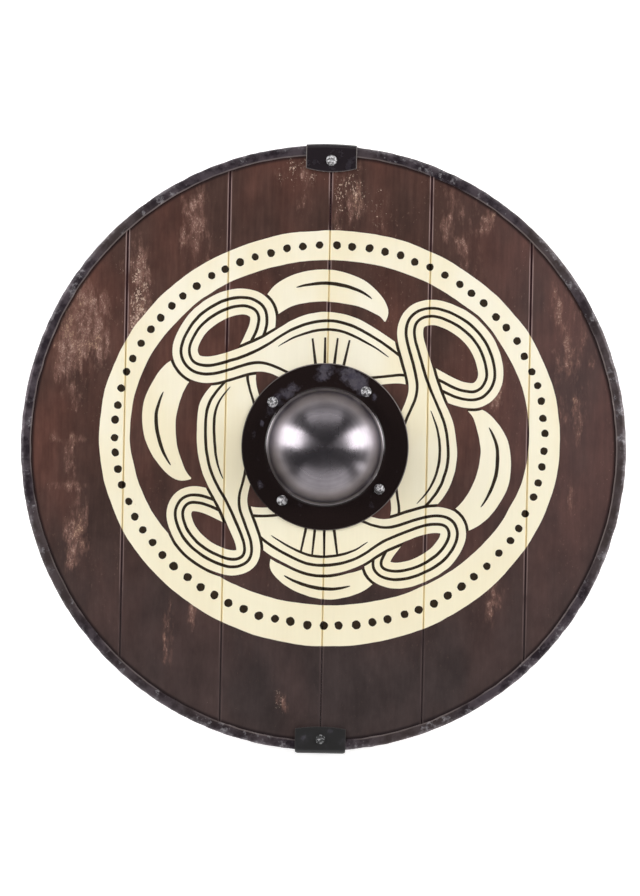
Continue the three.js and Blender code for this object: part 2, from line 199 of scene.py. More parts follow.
def brown_ground(s, height):
    """The unworn paint: redder and lighter towards the top, brushed along the boards."""
    reddish = s.mix(height, rgb(69, 55, 53), rgb(89, 58, 50))
    greyish = s.mix(height, rgb(62, 52, 51), rgb(73, 52, 46))
    base = s.mix(s.share(s.noise((16, 7, 7), 3.0, 3.1), 0.36, 0.64), reddish, greyish)
    base = s.shade(base, s.line(s.noise((36, 22, 22), 5.0, 17.0, 0.62), 1.3, 0.32))
    grain = s.noise((460, 70, 70), 3.0, 1.7)
    base = s.shade(base, s.line(grain, 0.34, 0.84))
    brushed = s.plus(s.noise((230, 15, 15), 4.0, 71.0, 0.6), -0.5)
    base = s.shade(base, s.line(s.times(height, 0.85), brushed, 1.0))
    faded = s.times(s.share(s.along("X"), 0.09, 0.26), s.times(height, 0.2))
    return s.mix(faded, base, rgb(98, 88, 92)), grain


def worn_through(s, base):
    """Haze and streaks of bare wood where the boards are marked as worn."""
    wear = s.mark("wear")
    spread = s.line(s.noise((110, 32, 32), 6.0, 9.4, 0.7), 4.2, s.plus(wear, -2.2))
    worn = s.times(s.share(spread, 0.2, 0.95), s.share(wear, 0.0, 0.35))
    clumps = s.noise((190, 90, 90), 5.0, 31.0, 0.7)
    haze = s.times(worn, s.line(clumps, 3.4, -0.95))
    colour = s.mix(s.times(haze, 0.85), base, rgb(131, 97, 86))
    streaks = s.line(clumps, 0.35, s.times(s.noise((900, 520, 520), 4.0, 5.2, 0.75), 0.65))
    level = s.line(worn, -0.14, 0.65)
    bare = s.share(streaks, level, s.plus(level, 0.08))
    tint = s.share(s.noise((70, 26, 26), 2.0, 12.3), 0.5, 0.62)
    bare_tone = s.mix(tint, rgb(188, 158, 144), rgb(194, 162, 132))
    return s.mix(s.times(bare, 0.62), colour, bare_tone), streaks, bare


def speckled(s, colour, height):
    """Bright specks where they are marked, and faint flecks here and there."""
    marked = s.mark("specks")
    grains = s.line(s.noise((125, 75, 75), 4.0, 61.0, 0.7), 0.4,
                    s.times(s.noise((620, 430, 430), 3.0, 51.0, 0.7), 0.6))
    level = s.line(marked, -0.13, 0.68)
    spot = s.times(s.share(grains, level, s.plus(level, 0.05)), s.share(marked, 0.0, 0.3))
    colour = s.mix(s.times(spot, 0.85), colour, rgb(216, 190, 170))
    region = s.times(s.share(s.noise((17, 9, 9), 3.0, 40.0), 0.44, 0.62), s.line(height, 0.85, 0.15))
    fleck = s.times(s.share(s.noise((480, 260, 260), 3.0, 21.0, 0.65), 0.63, 0.71), region)
    return s.mix(s.times(fleck, 0.55), colour, rgb(140, 108, 96))


def seams_and_edge(s, colour, height):
    """Painted shadow just inside the rim, rubbed arrises beside the seams, and painted shade in the
    seams' V.
    """
    # painted shadow: a thin dark ring on the boards just inside the rim's lip
    painted_rim_shadow = s.share(s.radius((0.0, 0.0)), 0.2905, 0.2935)
    colour = s.mix(s.times(painted_rim_shadow, 0.7), colour, rgb(24, 14, 18))
    broken = s.share(s.noise((30, 26, 30), 3.0, 7.7), 0.3, 0.55)
    arris = s.times(s.times(s.mark("arris"), broken), s.line(height, 0.78, 0.08))
    colour = s.mix(arris, colour, rgb(154, 131, 126))
    # painted shade in the seams' V: darker than the face towards the top, lighter towards the foot to
    # offset the V's own shade
    return s.mix(s.mark("groove_shade"), colour, s.mix(height, rgb(80, 68, 68), rgb(70, 45, 48)))


def brown_paint():
    s = Surface("brown_paint")
    height = s.share(s.along("Y"), -0.25, 0.02)
    base, grain = brown_ground(s, height)
    colour, streaks, bare = worn_through(s, base)
    colour = seams_and_edge(s, speckled(s, colour, height), height)
    s.relief(s.line(bare, -0.7, grain), 0.00025, 0.4)
    return s.finish(Base_Color=colour, Roughness=s.line(streaks, 0.25, 0.36), Specular_IOR_Level=0.3)


def cream_paint():
    s = Surface("cream_paint")
    height = s.share(s.along("Y"), -0.24, 0.16)
    base = s.mix(height, rgb(252, 243, 212), rgb(253, 246, 224))
    base = s.mix(s.share(s.noise((15, 8, 8), 3.0, 2.2), 0.35, 0.7), base, rgb(249, 238, 206))
    grain = s.noise((420, 24, 24), 3.0, 6.1)
    base = s.shade(base, s.line(grain, 0.05, 0.975))
    chip = s.share(s.noise((330, 120, 120), 3.0, 14.2, 0.7), 0.74, 0.78)
    colour = s.mix(s.times(chip, 0.5), base, rgb(196, 170, 132))
    # painted shade in the seams' V: a darker tan than the cream
    colour = s.mix(s.mark("groove_shade"), colour, rgb(243, 228, 186))
    s.relief(grain, 0.0002, 0.25)
    return s.finish(Base_Color=colour, Roughness=0.5, Specular_IOR_Level=0.3)


def line_paint():
    s = Surface("line_paint")
    grain = s.noise((420, 60, 60), 3.0, 4.4)
    base = s.mix(s.share(grain, 0.3, 0.75), rgb(38, 28, 17), rgb(54, 42, 28))
    # painted shade in the seams' V: darker than the line colour
    colour = s.mix(s.mark("groove_shade"), base, rgb(34, 24, 16))
    s.relief(grain, 0.0002, 0.3)
    return s.finish(Base_Color=colour, Roughness=0.5, Specular_IOR_Level=0.3)


def wood(name, dark, light, along, shift=0.0):
    """Oiled wood whose grain runs along one axis, darkened where two boards meet."""
    s = Surface(name)

    def grain(across, lengthwise, *settings):
        per_metre = [across] * 3
        per_metre["XYZ".index(along)] = lengthwise
        return s.noise(per_metre, *settings)

    rings = grain(95, 4.5, 4.0, 8.2 + shift, 0.62)
    lines = grain(330, 9, 3.0, 5.9 + shift, 0.6)
    pores = grain(1100, 28, 2.0, 3.3)
    base = s.mix(s.share(rings, 0.34, 0.66), dark, light)
    base = s.shade(s.shade(base, s.line(pores, 0.5, 0.75)), s.line(lines, 1.0, 0.5))
    base = s.mix(s.times(s.mark("joint"), 0.85), base, rgb(30, 20, 14))
    s.relief(s.line(rings, 0.5, pores), 0.0003, 0.5)
    return s.finish(Base_Color=base, Roughness=s.line(pores, 0.3, 0.42))


# Steel


def rim_steel():
    """Blackened steel, burnished in patches and along its worn edges, with a painted highlight along the
    lip's inner edge.
    """
    s = Surface("blackened_steel")
    blotch = s.noise(62, 4.0, 5.0, 0.6)
    fine = s.noise(300, 3.0, 1.0, 0.6)
    dark = s.mix(s.share(blotch, 0.38, 0.62), rgb(44, 35, 42), rgb(88, 78, 84))
    rusty = s.share(s.noise(6, 1.0, 9.0), 0.5, 0.62)
    dark = s.mix(s.times(rusty, 0.5), dark, rgb(88, 76, 71))
    light = s.mix(s.share(fine, 0.35, 0.65), rgb(104, 98, 103), rgb(176, 171, 174))
    second = s.noise(85, 5.0, 23.0, 0.7)
    patches = s.times(s.share(second, 0.56, 0.66), 0.75)
    edge = s.times(s.mark("worn"), s.share(second, 0.44, 0.64))
    bright = s.node("Math", {0: patches, 1: s.times(edge, 0.5)}, operation="MAXIMUM")
    # painted highlight: a thin light line along the lip's inner edge
    lip = s.times(s.mark("lip"), s.share(s.noise(11, 3.0, 44.0), 0.36, 0.52))
    colour = s.mix(s.times(lip, 0.5), s.mix(bright, dark, light), rgb(160, 146, 142))
    s.relief(s.line(fine, 0.25, blotch), 0.0012, 0.6)
    return s.finish(Base_Color=colour, Metallic=0.45, Roughness=s.line(fine, 0.3, 0.33))


def black_paint(name, tone, roughness, patches):
    """Black paint, grey where the piece is marked as worn: rubbed through, and on the boss's flange also
    painted reflection. Edges marked as edge get a painted highlight.
    """
    s = Surface(name)
    blotch = s.noise(90, 5.0, 15.0, 0.65)
    fine = s.noise(330, 3.0, 2.0, 0.6)
    # on the boss's flange the worn mark also carries painted reflection, so this grey is scuffs and
    # painted reflection there
    scuff = s.times(s.share(s.line(s.mark("worn"), 0.45, blotch), 0.62, 1.02), patches)
    grey = s.mix(s.share(fine, 0.3, 0.7), rgb(70, 66, 80), rgb(100, 95, 102))
    fleck = s.share(s.noise(420, 3.0, 31.0, 0.7), 0.74, 0.78)
    colour = s.mix(s.times(fleck, 0.5), s.mix(scuff, tone, grey), rgb(105, 98, 98))
    # painted highlight along the edges marked as edge
    colour = s.mix(s.times(s.mark("edge"), 0.85), colour, rgb(150, 142, 138))
    s.relief(s.line(fine, 0.12, blotch), 0.0002, 0.4)
    return s.finish(Base_Color=colour, Roughness=s.line(scuff, 0.3, roughness))


def turned_steel():
    """Steel spun in a lathe, with fine rings about the boss's middle, painted shade towards the dome's
    foot and a painted highlight round it.
    """
    s = Surface("spun_steel")
    radius = s.radius(BOSS)
    rings = s.node("TexNoise", {"W": radius, "Scale": 420.0, "Detail": 5.0}, noise_dimensions="1D")
    tone = s.mix(s.share(rings, 0.3, 0.7), rgb(167, 160, 166), rgb(173, 166, 172))
    tone = s.shade(tone, s.line(s.noise(60, 4.0, 8.8), 0.6, 0.7))
    # painted shade: darker towards the dome's foot, over the reflections of the floor and the boards
    tone = s.mix(s.share(radius, 0.044, 0.055), tone, rgb(113, 107, 120))
    # painted highlight: a bright ring round the dome's foot
    tone = s.mix(s.share(radius, 0.0556, 0.0572), tone, rgb(216, 208, 212))
    rough = s.line(s.noise(40, 3.0, 6.0), 0.14, 0.2)
    rough = s.line(s.share(radius, 0.028, 0.05), 0.08, rough)
    s.relief(rings, 0.00004, 0.02)
    return s.finish(Base_Color=tone, Metallic=1.0, Roughness=rough,
                    Anisotropic=0.58, Anisotropic_Rotation=0.25)


def bare_steel(name, tone, roughness, bumps, metallic=0.75, clean=0.42):
    """Unpainted steel with dark dirt in random patches."""
    s = Surface(name)
    dirt = s.noise(340, 4.0, 7.5, 0.7)
    dark = tuple(c * 0.12 for c in tone[:3]) + (1.0,)
    colour = s.mix(s.share(dirt, clean, clean + 0.14), dark, tone)
    s.relief(s.noise(480, 4.0, 2.5, 0.65), bumps, 0.6)
    return s.finish(Base_Color=colour, Metallic=metallic, Roughness=s.line(dirt, 0.3, roughness))


# Making pieces


def make_piece(name, points, faces, nodes, materials, marks=None, choice=None, corner=30):
    """One mesh from points in millimetres, riding on the shield in place of its solids."""
    mesh = bpy.data.meshes.new(name)
    mesh.from_pydata([tuple(float(c) * MM for c in p) for p in points], [], faces)
    for material in materials:
        mesh.materials.append(material)
    if choice is not None:
        mesh.polygons.foreach_set("material_index", np.asarray(choice, dtype=np.int32))
    for key, values in (marks or {}).items():
        layer = mesh.attributes.new(key, "FLOAT", "POINT")
        layer.data.foreach_set("value", np.asarray(values, dtype=np.float32))
    mesh.polygons.foreach_set("use_smooth", np.ones(len(mesh.polygons), dtype=bool))
    mesh.set_sharp_from_angle(angle=radians(corner))
    mesh.update()
    piece = bpy.data.objects.new(name, mesh)
    bpy.context.scene.collection.objects.link(piece)
    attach(piece, "root")
    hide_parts(*nodes)
    return piece


def grid_faces(rows, columns, wrap_rows, wrap_columns):
    """Four-sided faces between neighbouring rows and columns of a grid of points."""
    faces = []
    for i in range(rows if wrap_rows else rows - 1):
        here, after = i * columns, (i + 1) % rows * columns
        for j in range(columns if wrap_columns else columns - 1):
            k = (j + 1) % columns
            faces.append((here + j, here + k, after + k, after + j))
    return faces


def end_cap(start, outer_count, inner_count, flip):
    """Closes a folded strip's end, whose outer and inner paths run opposite ways round it."""
    outer = range(start, start + outer_count)
    inner = range(start + outer_count + inner_count - 1, start + outer_count - 1, -1)
    faces = []
    a = b = 0
    while a < outer_count - 1 or b < inner_count - 1:
        outer_share = (a + 1) / (outer_count - 1) if a < outer_count - 1 else inf
        inner_share = (b + 1) / (inner_count - 1) if b < inner_count - 1 else inf
        if outer_share <= inner_share:
            faces.append((outer[a], outer[a + 1], inner[b]))
            a += 1
        else:
            faces.append((outer[a], inner[b + 1], inner[b]))
            b += 1
    return [f[::-1] for f in faces] if flip else faces


def make_turned(name, point_at, columns, segments, node, materials, marks, kinds, corner):
    """A piece turned about an axis, from its section's points at each of many turns."""
    turns = [2 * pi * k / segments for k in range(segments)]
    points = [point_at(turn, column) for turn in turns for column in range(columns)]
    faces = [f[::-1] for f in grid_faces(segments, columns, True, False)]
    choice = [kinds[min(i % columns for i in f) + 1] for f in faces] + [kinds[0], kinds[-1]]
    faces.append(tuple(k * columns for k in range(segments)))
    faces.append(tuple(k * columns + columns - 1 for k in range(segments))[::-1])
    make_piece(name, points, faces, [node], materials, marks, choice, corner)


def uneven(*place):
    """Soft noise from about -1 to 1 at a place."""
    return noise.noise(Vector(place))


def arc(centre_x, centre_y, radius, start, end, steps):
    angles = np.radians(np.linspace(start, end, steps + 1))
    return [(centre_x + radius * cos(a), centre_y + radius * sin(a)) for a in angles]


def dome(radius, rise, level, start, end, count):
    """A profile from one angle above the dome's foot to another, as radius and height."""
    return [(radius * cos(t), level + rise * sin(t)) for t in np.radians(np.linspace(start, end, count))]


# The painted design: an oval ring of dots round a knot of one looped band, with four leaves

RING_CENTRE = np.array([5.9, 9.9])
RING_AXES = np.array([232.0, 209.4])
FIELD_CENTRE = np.array([5.9, 15.5])
FIELD_AXES = np.array([201.0, 174.0])
DOT_COUNT = 78
DOT_CORNERS = 14
BAND_GAP = 3.0
LINE_HALF = 1.5
STEP = 2.4
HAIR = 1e-12  # keeps a division clear of nought

KNOT_TURNS = [38, 133, 219, 312]
KNOT_SIZES = [  # reach, spread, and half width between the loops and in them
    (0.99, 1.16, 34, 13.0), (0.97, 1.08, 38, 13.0), (0.99, 1.08, 31, 12.5), (0.93, 1.12, 35, 13.0),
]
KNOT_LINE_INSET = 8.8
KNOT_PASSES = 8
LEAF_ROWS = [(-30, 0.57, 7), (-25, 0.65, 11), (-18, 0.725, 14.5), (-6, 0.755, 16.5), (5, 0.72, 14.5),
             (13, 0.655, 10.5), (18.5, 0.585, 5.8), (20.5, 0.515, 0.6)]
LEAVES = [  # turn, side, size and first row
    (86, -1, 1.0, 0), (174, 1, 1.05, 1), (266, -1, 0.76, 0), (355, 1, 1.02, 0),
]
LEAF_PASSES = 4
VEIN = (0.30, 0.82, -0.15)  # the vein's start and end along the leaf, and its place across
ECHO_INSET = 17.5
ECHO_FROM = 23.0
BAR_TURNS = [78, 84.5, 91, 97.5, 258, 264.5, 271, 277.5]
BAR_REACH = 28.0


def place(degrees, share):
    """A point at a turn about the boss, at a share of the way from the flange to the field's edge."""
    direction = np.array([cos(radians(degrees)), sin(radians(degrees))])
    offset = (BOSS - FIELD_CENTRE) / FIELD_AXES
    step = direction / FIELD_AXES
    a, b, c = step @ step, 2 * offset @ step, offset @ offset - 1
    reach = (-b + sqrt(b * b - 4 * a * c)) / (2 * a)
    return BOSS + (FLANGE_RADIUS + share * (reach - FLANGE_RADIUS)) * direction


def soften(rows, closed, passes):
    for _ in range(passes):
        if closed:
            rows = (np.roll(rows, 1, axis=0) + 2 * rows + np.roll(rows, -1, axis=0)) / 4
        else:
            rows = np.concatenate([rows[:1], (rows[:-2] + 2 * rows[1:-1] + rows[2:]) / 4, rows[-1:]])
    return rows


def between(t, low, high, first, second):
    """The point at t on the straight way from the first, at low, to the second, at high."""
    return (high - t) / (high - low) * first + (t - low) / (high - low) * second


def drawn_curve(rows, closed, passes):
    """An even, softened curve through rows of x, y and half width."""
    rows = np.asarray(rows, dtype=float)
    if closed:
        before, after = rows[-1:], rows[:2]
    else:
        before, after = 2 * rows[:1] - rows[1:2], 2 * rows[-1:] - rows[-2:-1]
    guide = np.concatenate([before, rows, after])
    fine = []
    for p0, p1, p2, p3 in zip(guide, guide[1:], guide[2:], guide[3:]):
        t1 = sqrt(dist(p0[:2], p1[:2])) + 1e-6
        t2 = t1 + sqrt(dist(p1[:2], p2[:2]))
        t3 = t2 + sqrt(dist(p2[:2], p3[:2])) + 1e-6
        for t in np.linspace(t1, t2, 24, endpoint=False):
            a1, a2 = between(t, 0, t1, p0, p1), between(t, t1, t2, p1, p2)
            a3 = between(t, t2, t3, p2, p3)
            b1, b2 = between(t, 0, t2, a1, a2), between(t, t1, t3, a2, a3)
            fine.append(between(t, t1, t2, b1, b2))
    fine.append(fine[0] if closed else guide[-2])
    fine = np.array(fine)
    reach = np.concatenate([[0], np.cumsum(np.hypot(*np.diff(fine[:, :2], axis=0).T))])
    at = np.linspace(0, reach[-1], int(round(reach[-1] / STEP)), endpoint=not closed)
    even = np.stack([np.interp(at, reach, fine[:, k]) for k in range(3)], axis=1)
    return soften(even, closed, passes)


class Strand:
    """A painted band along a curve, with its lines."""

    def __init__(self, rows, closed, passes, inset=None, vein=None):
        rows = drawn_curve(rows, closed, passes)
        self.line, self.half, self.closed = rows[:, :2], rows[:, 2], closed
        self.inset, self.vein = inset, vein
        if closed:
            tangent = np.roll(self.line, -1, axis=0) - np.roll(self.line, 1, axis=0)
        else:
            tangent = np.gradient(self.line, axis=0)
        tangent /= np.linalg.norm(tangent, axis=1)[:, None]
        self.normal = np.stack([-tangent[:, 1], tangent[:, 0]], axis=1)
        turned = (np.roll(tangent, -1, axis=0) - np.roll(tangent, 1, axis=0)) / (2 * STEP)
        if not closed:
            turned[0] = turned[-1] = 0.0
        self.bend = (turned * self.normal).sum(axis=1)

    def band(self, first, last, left, right):
        """The outline between two offsets, held short of the middle of a tight turn."""
        count = len(self.line)
        if self.closed:
            index = np.arange(first, last + 1) % count
        else:
            index = np.arange(max(first, 0), min(last, count - 1) + 1)
        sides = []
        for offset in (left, right):
            tight = offset * self.bend > 0.9
            held = np.where(tight, 0.9 / np.where(tight, self.bend, 1.0), offset)
            sides.append(self.line[index] + self.normal[index] * held[index][:, None])
        return np.concatenate([sides[0], sides[1][::-1]])

    def layers(self, first, last, step=0):
        """Gap, band and lines, each a step longer than the one under it where only a part is painted."""
        half = self.half
        out = [("gap", self.band(first + step, last - step, half + BAND_GAP, -half - BAND_GAP)),
               ("cream", self.band(first, last, half, -half))]
        if self.inset:
            at = half - self.inset
            for left, right in ((at + LINE_HALF, at - LINE_HALF), (LINE_HALF - at, -LINE_HALF - at)):
                out.append(("line", self.band(first - step, last + step, left, right)))
        if self.vein:
            count = len(self.line)
            start, end = int(self.vein[0] * count), int(self.vein[1] * count)
            t = np.clip((np.arange(count) - start) / max(end - start, 1), 0, 1)
            thick = 0.35 + 1.5 * np.sqrt(np.maximum(np.sin(np.pi * t), 0))
            lift = self.vein[2] * half
            out.append(("line", self.band(start, end, lift + thick, lift - thick)))
        return out


def crossings(line):
    """Where a closed line crosses itself, as two places along it."""
    ahead = np.roll(line, -1, axis=0) - line
    d, e = ahead[:, None], ahead[None]
    gap = line[None] - line[:, None]
    under = d[..., 0] * e[..., 1] - d[..., 1] * e[..., 0]
    under = np.where(abs(under) < HAIR, HAIR, under)
    t = (gap[..., 0] * e[..., 1] - gap[..., 1] * e[..., 0]) / under
    u = (gap[..., 0] * d[..., 1] - gap[..., 1] * d[..., 0]) / under
    hits = np.argwhere((t >= 0) & (t < 1) & (u >= 0) & (u < 1))
    last = len(line) - 2
    return [(i + t[i, j], j + u[i, j]) for i, j in hits if j > i + 2 and (i > 0 or j < last)]


def weave(line):
    """Each crossing's upper and lower place, over and under by turns, and the room round the upper."""
    found = crossings(line)
    visits = sorted(v for pair in found for v in pair)
    out = []
    for pair in found:
        top, below = pair if visits.index(pair[0]) % 2 == 0 else pair[::-1]
        gaps = [abs(v + lap * len(line) - top) for v in visits if v != top for lap in (-1, 0, 1)]
        out.append((int(top), int(below), min(gaps + [60.0]) / 2))
    return out


def oval(centre, axes, count):
    t = np.linspace(0, 2 * pi, count, endpoint=False)
    return np.stack([centre[0] + axes[0] * np.cos(t), centre[1] + axes[1] * np.sin(t)], axis=1)


def circle(radius, count, centre=(0, 0)):
    return oval(centre, (radius, radius), count)


def ring_dots():
    dice = random.Random(11)
    middle = (oval(RING_CENTRE, RING_AXES, 720) + oval(FIELD_CENTRE, FIELD_AXES, 720)) / 2
    closed = np.concatenate([middle, middle[:1]])
    reach = np.concatenate([[0], np.cumsum(np.hypot(*np.diff(closed, axis=0).T))])
    dots = []
    for k in range(DOT_COUNT):
        at = (k + 0.35 + dice.uniform(-0.07, 0.07)) * reach[-1] / DOT_COUNT
        x = np.interp(at, reach, closed[:, 0]) + dice.uniform(-0.7, 0.7)
        y = np.interp(at, reach, closed[:, 1]) + dice.uniform(-0.7, 0.7)
        radius = dice.uniform(3.7, 4.1) + (0.45 if y < -120 else 0.0)
        turn = dice.uniform(0, 1)
        points = []
        for i in range(DOT_CORNERS):
            angle = 2 * pi * (i + turn) / DOT_CORNERS
            out = radius * (1 + dice.uniform(-0.06, 0.06))
            points.append((x + out * cos(angle), y + out * sin(angle)))
        dots.append(np.array(points))
    return dots


def knot_strand():
    """One closed band with a loop at each of four turns, wide between them."""
    rows = []
    for turn, (outer, spread, wide, slim) in zip(KNOT_TURNS, KNOT_SIZES):
        table = [(-45, 0.13, wide), (-25, 0.15, wide * 0.86), (-6, 0.26, slim * 1.15)]
        loop = [(7.5, 0.395), (13.5, 0.51), (15.8, 0.65), (13.0, 0.785), (6.5, 0.865)]
        table += [(offset * spread, share * outer, slim) for offset, share in loop]
        table += [(0, 0.885 * outer, slim)]
        table += [(-offset * spread, share * outer, slim) for offset, share in loop[::-1]]
        table += [(6, 0.26, slim * 1.15), (25, 0.15, wide * 0.86)]
        rows += [(*place(turn + offset, share), half) for offset, share, half in table]
    return Strand(rows, True, KNOT_PASSES, inset=KNOT_LINE_INSET)


def leaf_strand(turn, side, size, first):
    rows = [(*place(turn + side * offset, share), half * size)
            for offset, share, half in LEAF_ROWS[first:]]
    return Strand(rows, False, LEAF_PASSES, vein=(VEIN[0], VEIN[1], VEIN[2] * side))


def echo_lines(knot):
    """A second line inside the outer one, where the band is wide."""
    out = []
    count = len(knot.line)
    wide = knot.half > ECHO_FROM
    for start in [i for i in range(count) if wide[i] and not wide[i - 1]]:
        length = next(k for k in range(count) if not wide[(start + k) % count])
        index = [(start + k) % count for k in range(length)]
        line, normal = knot.line[index], knot.normal[index]
        at = np.sign(((line - BOSS) * normal).sum(axis=1)) * (knot.half[index] - ECHO_INSET)
        thick = 0.3 + 1.1 * np.sqrt(np.sin(np.linspace(0, pi, length)).clip(0))
        a, b = line + normal * (at + thick)[:, None], line + normal * (at - thick)[:, None]
        out.append(("line", np.concatenate([a, b[::-1]])))
    return out


def cross_bars():
    """Short bars across the wide parts of the band, from the boss outwards."""
    out = []
    for turn in BAR_TURNS:
        a = radians(turn)
        along = np.array([cos(a), sin(a)])
        side = np.array([-along[1], along[0]])
        near = BOSS + along * (FLANGE_RADIUS - 2)
        far = near + along * BAR_REACH
        out.append(("line", np.array([near + side * 1.5, near - side * 1.5, far - side, far + side])))
    return out


def painted_layers():
    layers = [("cream", oval(RING_CENTRE, RING_AXES, 420))]
    layers += [("brown", oval(FIELD_CENTRE, FIELD_AXES, 360))]
    layers += [("line", dot) for dot in ring_dots()]
    for leaf in LEAVES:
        strand = leaf_strand(*leaf)
        layers += strand.layers(0, len(strand.line) - 1)
    knot = knot_strand()
    layers += knot.layers(0, len(knot.line))
    for i, j, room in weave(knot.line):
        one, two = knot.normal[i], knot.normal[j]
        sine = max(abs(one[0] * two[1] - one[1] * two[0]), 0.4)
        reach = (knot.half[j] + BAND_GAP + 1 + knot.half[i] * sqrt(1 - sine * sine)) / sine
        steps = int(min(ceil(reach / STEP) + 1, max(room, 4)))
        layers += knot.layers(i - steps, i + steps + 1, 1)
    return layers + echo_lines(knot) + cross_bars()


def hand_drawn(points):
    """The outline with the small unevenness of a brush held by hand."""
    out = []
    for x, y in points:
        broad = noise.noise_vector(Vector((x / 30, y / 30, 3.7)))
        small = noise.noise_vector(Vector((x / 7, y / 7, 8.1)))
        out.append((x + 0.9 * broad.x + 0.25 * small.x, y + 0.9 * broad.y + 0.25 * small.y))
    return np.array(out)


def inside(points, outline):
    """Whether each point is within the outline, also where the outline overlaps itself."""
    low, high = outline.min(0), outline.max(0)
    near = np.nonzero(((points >= low) & (points <= high)).all(axis=1))[0]
    winding = np.zeros(len(near), dtype=int)
    x, y = points[near, 0], points[near, 1]
    for (x0, y0), (x1, y1) in zip(outline, np.roll(outline, -1, axis=0)):
        side = (x1 - x0) * (y - y0) - (x - x0) * (y1 - y0)
        winding += ((y0 <= y) & (y1 > y) & (side > 0)).astype(int)
        winding -= ((y0 > y) & (y1 <= y) & (side < 0)).astype(int)
    out = np.zeros(len(points), dtype=bool)
    out[near[winding != 0]] = True
    return out


# Boards

WORN_PLACES = [  # x, y, half width, half height, how hazy and how speckled
    (-243, 118, 22, 38, 1.0, 0.2), (-262, 88, 12, 28, 0.8, 0), (-252, 59, 8, 21, 0.7, 0),
    (-190, 148, 11, 46, 0.95, 1.1), (-197, 178, 16, 6, 0.4, 0.7), (-211, 177, 5, 10, 0.3, 0.7),
    (-135, 221, 14, 36, 0.7, 0.4), (-128, 180, 12, 12, 0.5, 0.4), (-30, 277, 20, 15, 0.6, 0.9),
    (-25, 246, 9, 10, 0.4, 0.4), (11, 250, 7, 40, 0.55, 0.9), (28, 256, 12, 26, 0.55, 1.0),
    (52, 240, 9, 20, 0.4, 0.8), (150, 236, 23, 15, 0.45, 0.2), (134, 187, 19, 20, 0.5, 0.3),
    (122, 217, 12, 66, 0.35, 0.1), (201, 195, 4, 14, 0.5, 0.5), (233, 150, 6, 22, 0.75, 0.2),
    (250, 86, 20, 72, 0.45, 0.1), (172, 72, 7, 26, 0.8, 0.5), (-254, -15, 7, 18, 0.5, 0.2),
    (-259, -43, 23, 3, 0.75, 0.4), (-262, 6, 22, 3, 0.6, 0.2), (-248, -88, 11, 34, 0.8, 0.3),
    (-153, -188, 5, 26, 0.6, 0.3), (-129, -173, 4, 14, 0.5, 0.1), (-38, -257, 9, 10, 0.5, 0.9),
    (174, -150, 9, 22, 0.6, 0.2), (257, -46, 12, 20, 0.45, 0.2),
]
BACK_SPACING = 12.0
HOLE_SLACK, DISC_SLACK = 0.9995, 0.99999  # the round outlines' chords run just off their circles


def off_centre(x, y, middle_x, middle_y, half_width, half_height):
    """How far a point is from a patch's middle: 1 at the patch's edge, and growing as the square."""
    return ((x - middle_x) / half_width) ** 2 + ((y - middle_y) / half_height) ** 2


def to_seam(x):
    return np.min([abs(x - s) for s in SEAMS], axis=0)


def edge_drop(x, y):
    return max(hypot(x, y) - (BOARD_RADIUS - BOARD_EDGE), 0.0)


def face_height(x, y):
    """The boards' painted face: level, with a chamfer at each seam and round the outside."""
    slope = (SEAM_CHAMFER - to_seam(x)) / (SEAM_CHAMFER - SEAM_GAP)
    return BOARD_FACE - max(SEAM_DEPTH * min(slope, 1.0), edge_drop(x, y))


def on_a_board(centres):
    x, y = centres[:, 0], centres[:, 1]
    off_hole = np.hypot(x - BOSS[0], y - BOSS[1]) > HAND_HOLE * HOLE_SLACK
    on_disc = np.hypot(x, y) < BOARD_RADIUS * DISC_SLACK
    return (to_seam(x) > SEAM_GLUED) & off_hole & on_disc


def triangulate(points, edges):
    found = delaunay_2d_cdt([Vector(p) for p in points], edges, [], 0, 1e-5)
    return np.array([tuple(v) for v in found[0]]), np.array([tuple(f) for f in found[2]]), found[3]


def add_outline(points, edges, outline, closed=True):
    first = len(points)
    points += [tuple(p) for p in outline]
    edges += [(first + i, first + i + 1) for i in range(len(outline) - 1)]
    if closed:
        edges.append((first + len(outline) - 1, first))


def add_upright(points, edges, x):
    add_outline(points, edges, [(x, -BOARD_RADIUS - 2), (x, BOARD_RADIUS + 2)], False)


def add_scattered(points):
    """Points between the outlines, so that the marks on the face have somewhere to be."""
    spacing = 5.0
    dice = random.Random(3)
    count = int(2 * BOARD_RADIUS / spacing) + 1
    for i in range(count):
        for j in range(count):
            x = -BOARD_RADIUS + spacing * (i + dice.uniform(0.25, 0.75))
            y = -BOARD_RADIUS + spacing * (j + dice.uniform(0.25, 0.75))
            on_face = hypot(x, y) < BOARD_RADIUS - 5 and dist((x, y), BOSS) > HAND_HOLE + 3
            if on_face and to_seam(x) > 3.5:
                points.append((x, y))


def painted_face():
    """The whole face as triangles, each with its paint and its board."""
    layers = [(kind, hand_drawn(points)) for kind, points in painted_layers()]
    points, edges = [], []
    outlines = [outline for _, outline in layers]
    outlines += [circle(BOARD_RADIUS, 720), circle(BOARD_RADIUS - BOARD_EDGE, 360)]
    outlines += [circle(HAND_HOLE, 120, BOSS)]
    for outline in outlines:
        add_outline(points, edges, outline)
    for seam in SEAMS:
        for offset in SEAM_LINES:
            add_upright(points, edges, seam - offset)
            add_upright(points, edges, seam + offset)
    add_scattered(points)
    where, faces, _ = triangulate(points, edges)
    centres = where[faces].mean(axis=1)
    keep = on_a_board(centres)
    faces, centres = faces[keep], centres[keep]
    paint = np.zeros(len(faces), dtype=int)
    for kind, outline in layers:
        covered = inside(centres, outline)
        if kind == "cream":
            paint[covered] = 1
        elif kind == "brown":
            paint[covered] = 0
        else:
            paint[covered & (paint == 1)] = 2
    return where, faces, paint, np.searchsorted(SEAMS, centres[:, 0])


